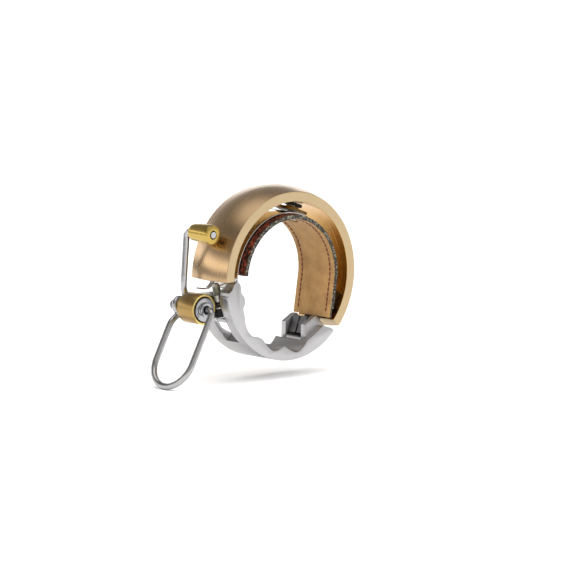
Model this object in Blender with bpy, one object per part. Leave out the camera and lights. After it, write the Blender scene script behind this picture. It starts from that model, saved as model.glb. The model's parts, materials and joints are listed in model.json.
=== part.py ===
"""Bicycle bell that wraps round a handlebar: a brass C-shaped bell on a leather-lined steel band,
a hinged aluminium lower clamp with its bolt, and a sprung wire lever that carries the hammer.

Millimetres are used for every size below and turned to metres where a mesh is made.
The origin is on the handlebar's axis, in the middle of the bell's width. The handlebar runs along Y,
the bell's front rim faces -Y, and angles are measured anticlockwise from +X as seen from the front.
"""
import math

import bmesh
import bpy
from mathutils import Matrix, Vector

MM = 0.001

# ---- driving sizes, in millimetres and degrees -------------------------------------------------
GAP = 0.3                    # clearance between pieces that touch
PLY_GAP = 0.25               # clearance between the stacked plies of the strap

LINING_INNER = 16.4          # grips a 31.8 mm handlebar with a little room for its grip tape
LINING_THICK = 0.55
BACKING_THICK = 0.4
LEATHER_WIDTH = 15.6
LEATHER_LEFT_DEG = 174.0
LINING_LEG = 10.9            # straight leg of the strap below its arc, right side
BACKING_LEG = 8.3
ACCESS_HOLE_RADIUS = 3.0     # access hole through both leathers, over the band screw

BAND_THICK = 0.5
BAND_FRONT = 2.4             # depths are measured back from the bell's front rim
BAND_BACK = 14.2
BAND_DROP = 2.6              # straight left end below the handlebar's axis
BAND_LEG = 6.9
BAND_TAB_DROP = 6.0
FINGER_WIDTH = 1.6
FINGER_BEND = 2.9
FINGER_REACH = 3.4
FINGER_TOP = -0.2            # height of the handlebar's axis below which the finger leaves the band
STRAP_LEAN_DEG = 9.0         # the right leg leans in by this much

BELL_INNER = 21.58
BELL_WALL = 2.87
BELL_CROWN = 1.25            # how far the bell's middle stands above its rims
BELL_WIDTH = 15.2
BELL_RIGHT_DEG = -41.0
BELL_LEFT_DEG = 178.6
BELL_LIP = 0.25              # flat land at each side of the crown

POST_RADIUS = 1.9
POST_FOOT_RADIUS = 4.6       # the post's flange, which rests on the band
POST_FOOT_THICK = 0.8
POST_SCREW_RADIUS = 0.95
POST_SCREW_GRIP = 1.6        # how far the screw goes into the bell's wall
SCREW_HEAD_THICK = 0.9
ISOLATOR_THICK = 0.7
ISOLATOR_RADIUS = 2.7

CLAMP_OUTER = 24.2
CLAMP_FRONT = 0.3
CLAMP_WIDTH = 13.6
CLAMP_RIGHT_DEG = 313.0      # the outside ends here; the end's corners stand a little beyond
CLAMP_FLOOR = 21.6           # radius of the floor that the hinge ears stand on
FRONT_LEG = 3.6              # thickness of the forked left end's front leg
SLOT_WIDTH = 5.3             # between the two legs
SLOT_END_DEG = 227.0
REAR_LEG_TOP = -3.9          # the rear leg stops this far below the handlebar's axis
RAIL_THICK = 2.75            # raised step in front of the hinge ears
EAR_FRONT = 2.9
EAR_THICK = 1.85
EAR_SPAN = 10.3              # outside to outside
PIN_RADIUS = 0.75
PIN_PLACE = (12.0, -15.6)
PIN_BLIND = 1.4              # how deep the pin's blind hole goes into the front ear
TONGUE_THICK = 0.8
TONGUE_HUB = 1.9
TONGUE_SPLIT = 0.6           # slit between the tongue's two front lugs
LUG_INSET = 0.06             # the lugs are narrower than the roll behind them
TONGUE_RIVET_ALONG = 4.6     # down the strap's right leg
TONGUE_RIVET_APART = 3.2
RIVET_RADIUS = 0.55
RIVET_HEAD_RADIUS = 1.1
RIVET_HEAD_THICK = 0.5

BOLT_RADIUS = 1.25
BOLT_HEAD_RADIUS = 2.1
BOLT_HEAD_LENGTH = 2.4
BOLT_DEG = 191.0
BOLT_LINE = 22.6             # distance of the bolt's line from the handlebar's axis
SEAT_START = 1.35            # measured down the bolt from its foot on the radius
SEAT_THICK = 1.0
SEAT_PLAY = 1.2              # the seat's hole is a slot, so the clamp can swing on the bolt
WASHER_THICK = 0.4
RIB_THICK = 1.0
SOCKET_HALF = 1.0            # hexagon socket, centre to corner
KEY_HOLE_RADIUS = 1.3        # way through the rib for the hexagon key
BOLT_TOP = -4.0              # the shank's end, measured down the bolt like the seat
NUT_HALF_WIDTH = 2.2
NUT_HEIGHT = 1.9

BARREL_RADIUS = 4.4
BARREL_FRONT = 5.5
BARREL_LENGTH = 6.7
BARREL_WALL = 0.48
BARREL_BACK_WALL = 2.0
PIVOT_DEG = 194.5
BARREL_STANDOFF = 0.53       # between the clamp's outside and the barrel
BARREL_EDGE = 0.15
BARREL_SCREW_RADIUS = 0.5
BARREL_SCREW_HEAD_RADIUS = 1.4
BARREL_SCREW_HEAD_THICK = 0.8
BARREL_SEAT = 2.2            # the screw head's seat below the clamp's outside
SADDLE_REACH = 2.2           # how far the saddle and the screw stay from the barrel's axis
BUSH_FLANGE_RADIUS = 3.45
BUSH_TUBE_RADIUS = 2.1
BUSH_NOSE = 1.3              # how far the bush stands out of the barrel
SPRING_WIRE = 0.5
SPRING_TURNS = 6

WIRE_RADIUS = 0.95
LEVER_FRONT = 1.7            # depth of the thumb loop's front leg
LEVER_BACK = 17.1            # depth of its back leg
ARM_DEPTH = 14.95
LOOP_LENGTH = 24.3           # pivot axis to the bottom of the loop's centre line
LOOP_LEAN_DEG = 28.4
COIL_RADIUS = 1.9
# how the straight wire leaves the eye: distance from the axis and share of the eye's radius
EYE_ENTRY = ((7.0, 0.0), (5.6, 0.05), (4.4, 0.22), (3.3, 0.52), (2.2, 0.82), (1.1, 0.96))
BEND_RADIUS = 1.7
PIVOT_PIN_RADIUS = 0.62
PIVOT_PIN_HEAD_RADIUS = 1.4
PIVOT_PIN_HEAD_THICK = 0.5

HAMMER_RADIUS = 2.87
HAMMER_LENGTH = 9.1
HAMMER_FRONT = 3.4
HAMMER_DEG = 151.8           # where the hammer rests round the bell
HAMMER_GAP = 1.45            # between the resting hammer and the bell's crown

# ---- sizes that follow --------------------------------------------------------------------------
BACKING_INNER = LINING_INNER + LINING_THICK + PLY_GAP
BAND_INNER = BACKING_INNER + BACKING_THICK + PLY_GAP
BAND_OUTER = BAND_INNER + BAND_THICK
BELL_RIM = BELL_INNER + BELL_WALL
BELL_TOP = BELL_RIM + BELL_CROWN
CROWN_DEG = 0.5 * (BELL_RIGHT_DEG + BELL_LEFT_DEG)
SLOT_FRONT = CLAMP_FRONT + FRONT_LEG
SLOT_BACK = SLOT_FRONT + SLOT_WIDTH
CLAMP_BACK = CLAMP_FRONT + CLAMP_WIDTH
BOLT_DEPTH = 0.5 * (SLOT_FRONT + SLOT_BACK)
PIVOT_RADIUS = CLAMP_OUTER + BARREL_STANDOFF + BARREL_RADIUS
BARREL_BACK = BARREL_FRONT + BARREL_LENGTH
HAMMER_LINE = BELL_TOP + HAMMER_GAP + HAMMER_RADIUS
WASHER_START = SEAT_START + SEAT_THICK + GAP
HEAD_START = WASHER_START + WASHER_THICK + GAP
RIB_START = HEAD_START + BOLT_HEAD_LENGTH + GAP
BOLT_BORE = BOLT_RADIUS + GAP


# ---- helpers ------------------------------------------------------------------------------------
def polar(radius, degrees):
    """X and Z of a point seen from the front."""
    angle = math.radians(degrees)
    return Vector((radius * math.cos(angle), radius * math.sin(angle)))


def arc(radius, start_deg, end_deg, steps, centre=(0.0, 0.0)):
    """Points along an arc, both ends included."""
    span = end_deg - start_deg
    middle = Vector(centre)
    return [middle + polar(radius, start_deg + span * i / steps) for i in range(steps + 1)]


def world(depth, xz):
    """A point in metres from its depth behind the front rim and its X and Z in millimetres."""
    return Vector((xz[0], depth - BELL_WIDTH / 2, xz[1])) * MM


def finish(obj, colour, roughness, metallic):
    """Gives an object a material of its own and sets its shading."""
    material = bpy.data.materials.new(obj.name + "_finish")
    material.use_nodes = True
    shader = material.node_tree.nodes["Principled BSDF"]
    shader.inputs["Base Color"].default_value = (*colour, 1.0)
    shader.inputs["Roughness"].default_value = roughness
    shader.inputs["Metallic"].default_value = metallic
    material.diffuse_color = (*colour, 1.0)
    obj.data.materials.clear()
    obj.data.materials.append(material)
    if obj.type == "MESH":
        obj.data.shade_smooth()
        obj.data.set_sharp_from_angle(angle=math.radians(35))
    return obj


def mesh_object(name, bm):
    """Turns a bmesh into an object whose faces point outwards."""
    bmesh.ops.recalc_face_normals(bm, faces=bm.faces)
    mesh = bpy.data.meshes.new(name)
    bm.to_mesh(mesh)
    bm.free()
    obj = bpy.data.objects.new(name, mesh)
    bpy.context.collection.objects.link(obj)
    return obj


def extruded(name, outline, front, back):
    """A flat outline in X and Z, extruded from one depth to another."""
    bm = bmesh.new()
    corners = [bm.verts.new(world(front, point)) for point in outline]
    face = bm.faces.new(corners)
    made = bmesh.ops.extrude_face_region(bm, geom=[face])
    moved = [item for item in made["geom"] if isinstance(item, bmesh.types.BMVert)]
    bmesh.ops.translate(bm, verts=moved, vec=Vector((0, (back - front) * MM, 0)))
    return mesh_object(name, bm)


def ring_sector(name, section, start_deg, end_deg, steps):
    """A section of (radius, depth) points, spun round the handlebar's axis and capped."""
    bm = bmesh.new()
    corners = [bm.verts.new(world(depth, (radius, 0))) for radius, depth in section]
    face = bm.faces.new(corners)
    turn = Matrix.Rotation(-math.radians(start_deg), 3, "Y")
    bmesh.ops.rotate(bm, cent=(0, 0, 0), matrix=turn, verts=bm.verts)
    span = -math.radians(end_deg - start_deg)
    bmesh.ops.spin(bm, geom=[face], cent=(0, 0, 0), axis=(0, 1, 0), angle=span, steps=steps)
    return mesh_object(name, bm)


def turned(name, section, base, axis, steps=32):
    """A closed section of (radius, height) points turned about an axis through a base point."""
    bm = bmesh.new()
    corners = []
    for radius, height in section:
        corners.append(bm.verts.new(Vector((radius, 0, height)) * MM))
    edges = [bm.edges.new((corners[i], corners[i - 1])) for i in range(len(corners))]
    edges = [edge for edge in edges if max(abs(vert.co.x) for vert in edge.verts) > 1e-9]
    bmesh.ops.spin(bm, geom=edges, cent=(0, 0, 0), axis=(0, 0, 1), angle=math.tau, steps=steps)
    bmesh.ops.remove_doubles(bm, verts=bm.verts, dist=1e-7)
    loose = [edge for edge in bm.edges if not edge.link_faces]
    bmesh.ops.delete(bm, geom=loose, context="EDGES")
    obj = mesh_object(name, bm)
    obj.location = base
    obj.rotation_euler = Vector(axis).to_track_quat("Z", "Y").to_euler()
    return obj


def rod(name, radius, base, axis, length, steps=24):
    """A plain round rod, used as a cutter or a pin's core."""
    return turned(name, [(0, 0), (radius, 0), (radius, length), (0, length)], base, axis, steps)


def headed(name, base, axis, shank, shank_length, head, head_length, steps=24):
    """A headed pin: the head starts at the base and the shank follows it along the axis."""
    chamfer = 0.2 * head_length
    section = [(0, -head_length), (head - chamfer, -head_length), (head, chamfer - head_length),
               (head, 0), (shank, 0), (shank, shank_length - chamfer),
               (shank - chamfer, shank_length), (0, shank_length)]
    return turned(name, section, base, axis, steps)


def combine(target, other, operation):
    """Adds an exact Boolean and hides the other object from the model."""
    other.hide_render = True
    other.display_type = "WIRE"
    modifier = target.modifiers.new(operation.lower() + "_" + other.name, "BOOLEAN")
    modifier.operation = operation
    modifier.object = other
    modifier.solver = "EXACT"


def cut(target, *others):
    for other in others:
        combine(target, other, "DIFFERENCE")


def join(target, *others):
    for other in others:
        combine(target, other, "UNION")


def wire_object(name, points, radius, resolution=3):
    """A round wire along points given in metres."""
    curve = bpy.data.curves.new(name, "CURVE")
    curve.dimensions = "3D"
    curve.bevel_depth = radius * MM
    curve.bevel_resolution = resolution
    curve.use_fill_caps = True
    spline = curve.splines.new("POLY")
    spline.points.add(len(points) - 1)
    for item, point in zip(spline.points, points):
        item.co = (*point, 1.0)
    obj = bpy.data.objects.new(name, curve)
    bpy.context.collection.objects.link(obj)
    return obj


def rounded(points, radius, steps=6):
    """A path through corners, each replaced by a short arc of the given radius."""
    path = [points[0]]
    for before, corner, after in zip(points, points[1:], points[2:]):
        inward = (before - corner).normalized()
        outward = (after - corner).normalized()
        half = 0.5 * inward.angle(outward)
        setback = radius / math.tan(half)
        middle = corner + (inward + outward).normalized() * (radius / math.sin(half))
        first = (corner + inward * setback - middle).normalized()
        last = (corner + outward * setback - middle).normalized()
        for i in range(steps + 1):
            path.append(middle + first.slerp(last, i / steps) * radius)
    path.append(points[-1])
    return path


def empty(name, place):
    obj = bpy.data.objects.new(name, None)
    obj.location = place
    bpy.context.collection.objects.link(obj)
    bpy.context.view_layer.update()
    return obj


def hang(parent, *children):
    """Parents objects without moving them."""
    bpy.context.view_layer.update()
    for child in children:
        child.parent = parent
        child.matrix_parent_inverse = parent.matrix_world.inverted()


# ---- strap: leathers, band and the parts that hold the bell ----------------------------------------
def leg_point(radius, along):
    """A point beside the strap's straight right leg: its radius, and how far down the leg."""
    lean = math.radians(STRAP_LEAN_DEG)
    return polar(radius, -STRAP_LEAN_DEG) + Vector((-math.sin(lean), -math.cos(lean))) * along


def strap_path(radius, left_deg, leg, steps=40):
    """From the strap's left end over the top and down the straight right leg."""
    return arc(radius, left_deg, -STRAP_LEAN_DEG, steps) + [leg_point(radius, leg)]


def strap(name, inner, thick, left_deg, leg, front, back):
    outline = strap_path(inner, left_deg, leg) + strap_path(inner + thick, left_deg, leg)[::-1]
    return extruded(name, outline, front, back)


def leathers():
    front = 0.5 * (BELL_WIDTH - LEATHER_WIDTH)
    back = front + LEATHER_WIDTH
    lining = strap("leather_lining", LINING_INNER, LINING_THICK, LEATHER_LEFT_DEG, LINING_LEG,
                   front, back)
    backing = strap("leather_backing", BACKING_INNER, BACKING_THICK, LEATHER_LEFT_DEG, BACKING_LEG,
                    front, back)
    for leather in (lining, backing):
        hole = rod(leather.name + "_hole", ACCESS_HOLE_RADIUS,
                   world(BELL_WIDTH / 2, polar(LINING_INNER - 1, CROWN_DEG)), crown_axis(), 3)
        cut(leather, hole)
    finish(lining, (0.30, 0.16, 0.07), 0.8, 0.0)
    finish(backing, (0.09, 0.03, 0.02), 0.6, 0.0)


def crown_axis():
    """Outward direction through the middle of the bell."""
    out = polar(1, CROWN_DEG)
    return Vector((out.x, 0, out.y))


def mount_band():
    """The steel band, with the nut's tab and a flared finger at its left end."""
    inner = [Vector((-BAND_INNER, -BAND_DROP))] + strap_path(BAND_INNER, 180, BAND_LEG)
    outer = [Vector((-BAND_OUTER, -BAND_DROP))] + strap_path(BAND_OUTER, 180, BAND_LEG)
    band = extruded("mount_band", inner + outer[::-1], BAND_FRONT, BAND_BACK)
    tab_outline = [(-BAND_INNER, -BAND_TAB_DROP), (-BAND_INNER, 0), (-BAND_OUTER, 0),
                   (-BAND_OUTER, -BAND_TAB_DROP)]
    tab = extruded("band_tab", tab_outline, SLOT_FRONT + GAP, SLOT_BACK - GAP)
    centre = (-BAND_INNER - FINGER_BEND, FINGER_TOP)
    finger_inner = arc(FINGER_BEND, 0, -90, 8, centre)
    finger_outer = arc(FINGER_BEND - BAND_THICK, 0, -90, 8, centre)
    tip = Vector((-FINGER_REACH, 0))
    finger_inner = [finger_inner[0] + Vector((0, 1))] + finger_inner + [finger_inner[-1] + tip]
    finger_outer = [finger_outer[0] + Vector((0, 1))] + finger_outer + [finger_outer[-1] + tip]
    finger = extruded("band_finger", finger_inner + finger_outer[::-1],
                      BAND_BACK - FINGER_WIDTH, BAND_BACK)
    below = extruded("band_trim", [(-BAND_OUTER - 1, FINGER_TOP), (-BAND_OUTER - 1, -BAND_DROP - 1),
                                   (-BAND_INNER + 1, -BAND_DROP - 1), (-BAND_INNER + 1, FINGER_TOP)],
                     BAND_BACK - FINGER_WIDTH, BAND_BACK + 1)
    cut(band, below)
    join(band, tab, finger)
    screw_hole = rod("band_screw_hole", POST_SCREW_RADIUS + GAP,
                     world(BELL_WIDTH / 2, polar(BAND_INNER - 1, CROWN_DEG)), crown_axis(), 3)
    rivet_hole = rod("band_rivet_hole", RIVET_RADIUS + GAP, nut_rivet_place(-BAND_INNER + 1),
                     (-1, 0, 0), 3)
    cut(band, screw_hole, rivet_hole)
    for depth in tongue_rivet_depths():
        start = world(depth, leg_point(BAND_INNER - 1, TONGUE_RIVET_ALONG))
        cut(band, rod("band_tongue_hole", RIVET_RADIUS + GAP, start, leg_axis(), 3, 16))
    finish(band, (0.55, 0.54, 0.52), 0.2, 1.0)


def leg_axis():
    out = polar(1, -STRAP_LEAN_DEG)
    return Vector((out.x, 0, out.y))


def tongue_rivet_depths():
    middle = EAR_FRONT + EAR_SPAN / 2
    return (middle - TONGUE_RIVET_APART / 2, middle + TONGUE_RIVET_APART / 2)


def bell_and_post():
    """The bell, and the screw, spacer post and rubber washer that hold it to the band."""
    half = BELL_WIDTH / 2
    crown_width = BELL_WIDTH - 2 * BELL_LIP
    section = [(BELL_INNER, 0), (BELL_RIM - BELL_LIP, 0)]
    for angle in range(-90, 91, 15):
        height = BELL_RIM + BELL_CROWN * math.cos(math.radians(angle))
        section.append((height, BELL_LIP + crown_width * (0.5 + angle / 180)))
    section += [(BELL_RIM - BELL_LIP, BELL_WIDTH), (BELL_INNER, BELL_WIDTH)]
    bell = ring_sector("bell_shell", section, BELL_RIGHT_DEG, BELL_LEFT_DEG, 56)
    blind = rod("bell_blind_hole", POST_SCREW_RADIUS + GAP,
                world(half, polar(BELL_INNER - 1, CROWN_DEG)), crown_axis(),
                1 + POST_SCREW_GRIP + 0.4)
    cut(bell, blind)
    finish(bell, (0.66, 0.45, 0.24), 0.32, 1.0)

    axis = crown_axis()
    flat = math.sqrt(BELL_INNER ** 2 - ISOLATOR_RADIUS ** 2)
    washer_top = flat - GAP
    washer_base = washer_top - ISOLATOR_THICK
    bore = POST_SCREW_RADIUS + GAP
    ring = [(bore, 0), (ISOLATOR_RADIUS, 0), (ISOLATOR_RADIUS, ISOLATOR_THICK),
            (bore, ISOLATOR_THICK)]
    washer = turned("isolator_washer", ring, world(half, polar(washer_base, CROWN_DEG)), axis)
    finish(washer, (0.02, 0.02, 0.02), 0.7, 0.0)

    post_base = BAND_OUTER + GAP
    post_height = washer_base - GAP - post_base
    post_section = [(bore, 0), (POST_FOOT_RADIUS, 0), (POST_FOOT_RADIUS, POST_FOOT_THICK),
                    (POST_RADIUS, POST_FOOT_THICK), (POST_RADIUS, post_height),
                    (bore, post_height)]
    post = turned("bell_post", post_section, world(half, polar(post_base, CROWN_DEG)), axis)
    finish(post, (0.5, 0.5, 0.5), 0.3, 1.0)

    head_radius = ACCESS_HOLE_RADIUS - 2 * GAP
    head_top = math.sqrt(BAND_INNER ** 2 - head_radius ** 2) - GAP
    screw = headed("band_screw", world(half, polar(head_top, CROWN_DEG)), axis, POST_SCREW_RADIUS,
                   BELL_INNER + POST_SCREW_GRIP - head_top, head_radius, SCREW_HEAD_THICK)
    finish(screw, (0.35, 0.35, 0.36), 0.3, 1.0)


# ---- hinge at the right end --------------------------------------------------------------------------
def hinge_tongue():
    """A bent steel tongue riveted outside the band, rolled round the hinge pin."""
    outer = BAND_OUTER + GAP + TONGUE_THICK / 2
    inner = LINING_INNER + LINING_THICK + GAP + TONGUE_THICK / 2 + 0.05
    line = [leg_point(outer, 2.9), leg_point(outer, 7.3), leg_point(inner, BACKING_LEG + 1.4),
            leg_point(inner, LINING_LEG + 0.35), leg_point(inner - 1.5, LINING_LEG + 2.2)]
    hub = Vector(PIN_PLACE)
    line = rounded(line, 0.8, 3) + [hub]
    left, right = [], []
    for i, point in enumerate(line[:-1]):
        before = line[max(i - 1, 0)]
        after = line[i + 1]
        along = (after - before).normalized()
        side = Vector((-along.y, along.x)) * TONGUE_THICK / 2
        left.append(point + side)
        right.append(point - side)
    end_side = (line[-1] - line[-2]).normalized()
    end_side = Vector((-end_side.y, end_side.x)) * TONGUE_THICK / 2
    outline = left + [hub + end_side, hub - end_side] + right[::-1]
    front = EAR_FRONT + EAR_THICK + GAP
    back = EAR_FRONT + EAR_SPAN - EAR_THICK - GAP
    tongue = extruded("hinge_tongue", outline, front, back)
    roll = rod("tongue_roll", TONGUE_HUB, world(front, PIN_PLACE), (0, 1, 0), back - front)
    middle = (front + back) / 2
    lug_outline = [(10.75, -13.15), (8.95, -17.9), (10.6, -17.9), (11.7, -16.9), (11.7, -13.9)]
    join(tongue, roll)
    join(tongue, extruded("front_lug", lug_outline, front + LUG_INSET, middle - TONGUE_SPLIT / 2))
    join(tongue, extruded("back_lug", lug_outline, middle + TONGUE_SPLIT / 2, back - LUG_INSET))
    bore = rod("tongue_bore", PIN_RADIUS + GAP, world(front - 1, PIN_PLACE), (0, 1, 0),
               back - front + 2)
    cut(tongue, bore)
    for depth in tongue_rivet_depths():
        start = world(depth, leg_point(BAND_OUTER - 1, TONGUE_RIVET_ALONG))
        cut(tongue, rod("tongue_rivet_hole", RIVET_RADIUS + GAP, start, leg_axis(), 4, 16))
    finish(tongue, (0.30, 0.30, 0.31), 0.35, 1.0)

    for number, depth in enumerate(tongue_rivet_depths(), 1):
        start = world(depth, leg_point(BAND_OUTER + 2 * GAP + TONGUE_THICK, TONGUE_RIVET_ALONG))
        rivet = headed("tongue_rivet_%d" % number, start, -leg_axis(), RIVET_RADIUS,
                       TONGUE_THICK + BAND_THICK + 2 * GAP, RIVET_HEAD_RADIUS, RIVET_HEAD_THICK, 16)
        finish(rivet, (0.5, 0.5, 0.5), 0.3, 1.0)


def hinge_pin():
    """A headed pin from the back: through the back ear and the tongue, into the front ear."""
    start = world(EAR_FRONT + EAR_SPAN + GAP, PIN_PLACE)
    length = EAR_SPAN + GAP - EAR_THICK + PIN_BLIND - GAP
    pin = headed("hinge_pin", start, (0, -1, 0), PIN_RADIUS, length, PIN_RADIUS + 0.45, 0.5)
    finish(pin, (0.6, 0.6, 0.6), 0.25, 1.0)


# ---- lower clamp ---------------------------------------------------------------------------------------
def smooth_line(points, steps=4):
    """A smooth line through the given points."""
    line = []
    for i in range(len(points) - 1):
        p0 = points[max(i - 1, 0)]
        p1, p2 = points[i], points[i + 1]
        p3 = points[min(i + 2, len(points) - 1)]
        for step in range(steps):
            t = step / steps
            line.append(0.5 * (2 * p1 + (p2 - p0) * t + (2 * p0 - 5 * p1 + 4 * p2 - p3) * t * t
                               + (3 * p1 - p0 - 3 * p2 + p3) * t ** 3))
    return line + [points[-1]]


def scallops():
    """The toothed inside of the clamp from the horn to the hinge floor, as radius and angle."""
    teeth = [(19.2, 180.6), (18.8, 182.6), (18.75, 185.5), (18.75, 189), (18.1, 192.5),
             (17.9, 195.5), (18.2, 199.5), (19.4, 203.5), (19.9, 210.0), (20.9, 216.0),
             (21.4, 222.0), (21.3, 228.0), (20.3, 233.5), (20.1, 239.0), (20.9, 244.0),
             (21.9, 252.6), (21.1, 259.0), (20.1, 263.2), (21.1, 269.0), (22.3, 276.5),
             (21.7, 283.0), (20.4, 288.6)]
    return smooth_line([polar(radius, angle) for radius, angle in teeth], 3)


def pivot_place():
    return polar(PIVOT_RADIUS, PIVOT_DEG)


def bolt_point(along, radius=BOLT_LINE):
    """X and Z of a point beside the bolt's line, measured down from its foot on the radius."""
    angle = math.radians(BOLT_DEG)
    return polar(radius, BOLT_DEG) + Vector((-math.sin(angle), math.cos(angle))) * along


def bolt_axis():
    down = bolt_point(1) - bolt_point(0)
    return Vector((down.x, 0, down.y))


def slab(name, start, thick):
    """A cross piece between the two legs, square to the bolt."""
    inside, outside = 20.0, CLAMP_OUTER - 0.35
    outline = [bolt_point(start, inside), bolt_point(start, outside),
               bolt_point(start + thick, outside), bolt_point(start + thick, inside)]
    return extruded(name, outline, SLOT_FRONT - 0.5, SLOT_BACK + 0.5)


def lower_clamp():
    right = polar(CLAMP_OUTER, CLAMP_RIGHT_DEG)
    horn = [Vector((-23.45, -3.55)), Vector((-23.4, -2.6)), Vector((-22.5, -2.2)),
            Vector((-21.8, -1.5)), Vector((-21.35, -0.7)), Vector((-21.0, 0.0)),
            Vector((-20.4, 0.4)), Vector((-19.7, 0.3))]
    floor = [polar(CLAMP_FLOOR, 290.5), polar(CLAMP_FLOOR, 300), polar(CLAMP_FLOOR, 309.8)]
    end = [polar(CLAMP_OUTER - inward, CLAMP_RIGHT_DEG + beyond)
           for inward, beyond in ((1.6, 0.6), (0.9, 1.1), (0.3, 0.9))]
    outer = arc(CLAMP_OUTER, CLAMP_RIGHT_DEG, 188.8, 36)
    clamp = extruded("lower_clamp", end + outer + horn + scallops() + floor, CLAMP_FRONT, CLAMP_BACK)

    rail_outline = [polar(20.4, 288.6), polar(20.15, 295), polar(20.0, 302), polar(20.0, 309.2)]
    rail_outline += end + [right, polar(CLAMP_OUTER - 1, 300), polar(CLAMP_OUTER - 1, 288.6)]
    join(clamp, extruded("front_rail", rail_outline, CLAMP_FRONT, CLAMP_FRONT + RAIL_THICK))
    ear_outline = [(12.5, -13.0), (15.5, -16.1), (14.6, -18.2), (8.3, -20.4), (8.0, -19.4),
                   (8.1, -15.1), (11.7, -13.1)]
    for name, front in (("front_ear", EAR_FRONT),
                        ("back_ear", EAR_FRONT + EAR_SPAN - EAR_THICK)):
        join(clamp, extruded(name, ear_outline, front, front + EAR_THICK))

    sill_outline = [(8.15, -20.6), (8.2, -19.1), (8.6, -18.85), (11.9, -18.15), (11.9, -19.0)]
    join(clamp, extruded("hinge_sill", sill_outline, EAR_FRONT + 0.5 * EAR_THICK,
                         EAR_FRONT + EAR_SPAN - 0.5 * EAR_THICK))

    saddle_outline = [polar(CLAMP_OUTER - 1.5, 187.5), polar(PIVOT_RADIUS - SADDLE_REACH, 190.0),
                      polar(PIVOT_RADIUS - SADDLE_REACH, 199.0), polar(CLAMP_OUTER - 1.5, 202.5)]
    join(clamp, extruded("saddle", saddle_outline, SLOT_BACK + 0.2, BARREL_BACK - 0.2))

    horn_trim = [(-30, 2), (-30, REAR_LEG_TOP), (-16.5, REAR_LEG_TOP), (-16.5, 2)]
    cut(clamp, extruded("rear_leg_top", horn_trim, SLOT_FRONT, CLAMP_BACK + 1))
    slot_outline = arc(16.5, 180, SLOT_END_DEG + 2, 8) + arc(30, SLOT_END_DEG, 180, 8)
    cut(clamp, extruded("slot", slot_outline, SLOT_FRONT, SLOT_BACK))
    hollow = [polar(16.5, 203), polar(20.4, 203), polar(21.9, 207), polar(22.75, 212.5),
              polar(22.9, 216.5), polar(22.3, 221.5), polar(21.3, 228.0), polar(16.5, 228)]
    cut(clamp, extruded("rear_leg_hollow", hollow, SLOT_FRONT, CLAMP_BACK + 1))
    join(clamp, slab("bolt_seat", SEAT_START, SEAT_THICK), slab("cross_rib", RIB_START, RIB_THICK))
    for name, inward in (("seat_hole", 0), ("seat_hole_end", SEAT_PLAY)):
        start = world(BOLT_DEPTH, bolt_point(0, BOLT_LINE - inward))
        cut(clamp, rod(name, BOLT_BORE, start, bolt_axis(), HEAD_START + 0.2))
    key_hole = rod("key_hole", KEY_HOLE_RADIUS, world(BOLT_DEPTH, bolt_point(HEAD_START)), bolt_axis(), 9)
    barrel_room = rod("barrel_room", BARREL_RADIUS + GAP, world(SLOT_FRONT, pivot_place()),
                      (0, 1, 0), 14, 40)
    cut(clamp, key_hole, barrel_room)

    inward = -polar(1, PIVOT_DEG)
    screw_axis = Vector((inward.x, 0, inward.y))
    screw_start = world(barrel_screw_depth(), polar(PIVOT_RADIUS, PIVOT_DEG))
    cut(clamp, rod("barrel_screw_hole", BARREL_SCREW_RADIUS + GAP, screw_start, screw_axis, 14, 20))
    head_room = world(barrel_screw_depth(), polar(CLAMP_OUTER - BARREL_SEAT, PIVOT_DEG))
    cut(clamp, rod("barrel_screw_room", BARREL_SCREW_HEAD_RADIUS + GAP, head_room, screw_axis, 6,
                   20))
    pin_bore = rod("pin_bore", PIN_RADIUS + GAP,
                   world(EAR_FRONT + EAR_THICK - PIN_BLIND, PIN_PLACE), (0, 1, 0), EAR_SPAN)
    hub_room = rod("hub_room", TONGUE_HUB + GAP, world(EAR_FRONT + EAR_THICK, PIN_PLACE),
                   (0, 1, 0), EAR_SPAN - 2 * EAR_THICK)
    cut(clamp, pin_bore, hub_room)
    finish(clamp, (0.62, 0.62, 0.63), 0.35, 1.0)


def barrel_screw_depth():
    return BARREL_BACK - BARREL_BACK_WALL / 2


def clamp_bolt():
    base = world(BOLT_DEPTH, bolt_point(HEAD_START))
    bolt = headed("clamp_bolt", base, -bolt_axis(), BOLT_RADIUS, HEAD_START - BOLT_TOP,
                  BOLT_HEAD_RADIUS, BOLT_HEAD_LENGTH)
    socket = rod("bolt_socket", SOCKET_HALF,
                 world(BOLT_DEPTH, bolt_point(HEAD_START + 0.45 * BOLT_HEAD_LENGTH)),
                 bolt_axis(), BOLT_HEAD_LENGTH, 6)
    cut(bolt, socket)
    finish(bolt, (0.04, 0.04, 0.045), 0.4, 1.0)
    ring = [(BOLT_BORE, 0), (BOLT_HEAD_RADIUS, 0), (BOLT_HEAD_RADIUS, WASHER_THICK),
            (BOLT_BORE, WASHER_THICK)]
    washer = turned("bolt_washer", ring, world(BOLT_DEPTH, bolt_point(WASHER_START)), bolt_axis(),
                    24)
    finish(washer, (0.6, 0.6, 0.6), 0.25, 1.0)


def nut_rivet_place(x):
    return world(BOLT_DEPTH, (x, nut_corner(0).y))


def nut_corner(along):
    """Where a line square to the bolt meets the nut's face on the band."""
    start = bolt_point(along)
    out = polar(1, BOLT_DEG)
    return start + out * ((-BAND_OUTER - GAP - start.x) / out.x)


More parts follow.
